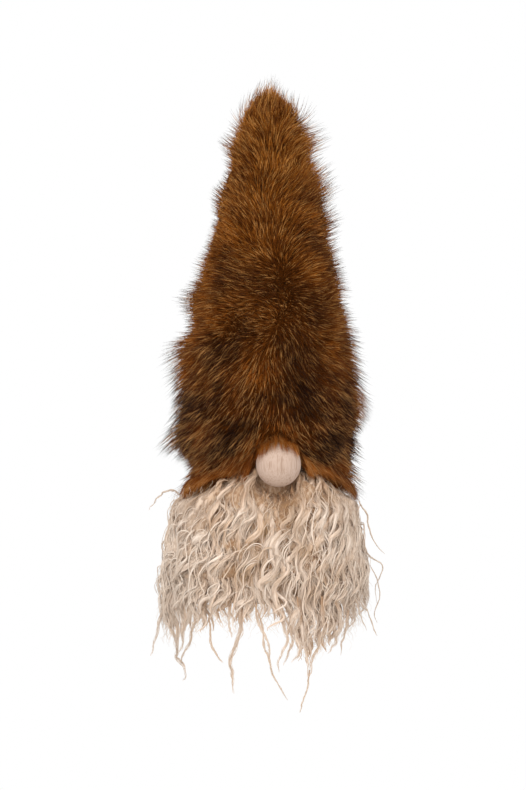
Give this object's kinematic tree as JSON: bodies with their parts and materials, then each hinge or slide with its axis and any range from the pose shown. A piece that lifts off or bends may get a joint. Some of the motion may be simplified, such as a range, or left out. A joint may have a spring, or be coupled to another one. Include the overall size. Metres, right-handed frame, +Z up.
{
  "type": "hanging tomte figure",
  "caption": "Hanging folk ornament: a tall stuffed fur hat over a felt body, a wooden ball nose and a long beard of curly wool locks.",
  "frame": {"origin": "inner top of the hanging loop behind the tip of the hat, where a nail or hook carries the figure", "axes": "+Z up, the figure's front with the nose faces -Y, +X to the viewer's right as seen from the front"},
  "size_m": [0.1725, 0.1608, 0.4705],
  "materials": {
    "hat_fur": "long pile fur fabric, brown, lighter at the tip and dark at the hair ends",
    "stuffing": "white fibre filling",
    "body_felt": "oatmeal wool felt",
    "base_card": "grey board",
    "base_felt": "brown wool felt",
    "beard_hide": "suede side of a tanned sheepskin",
    "beard_wool": "curly cream wool in locks",
    "nose_wood": "sanded bare pale wood with a fine straight grain",
    "peg_wood": "plain birch dowel",
    "washer_wood": "birch plywood disc",
    "loop_cord": "brown waxed cord"
  },
  "bodies": {
    "root": {"hat_fur": "hat_fur", "hat_filling": "stuffing", "body_cover": "body_felt", "body_filling": "stuffing", "base_board": "base_card", "base_felt": "base_felt", "beard_hide": "beard_hide", "beard_wool_left_side": "beard_wool", "beard_wool_left_front": "beard_wool", "beard_wool_front": "beard_wool", "beard_wool_right_front": "beard_wool", "beard_wool_right_side": "beard_wool", "nose_ball": "nose_wood", "nose_peg": "peg_wood", "nose_washer": "washer_wood", "hanging_loop": "loop_cord", "loop_knot": "loop_cord"}
  },
  "joints": []
}
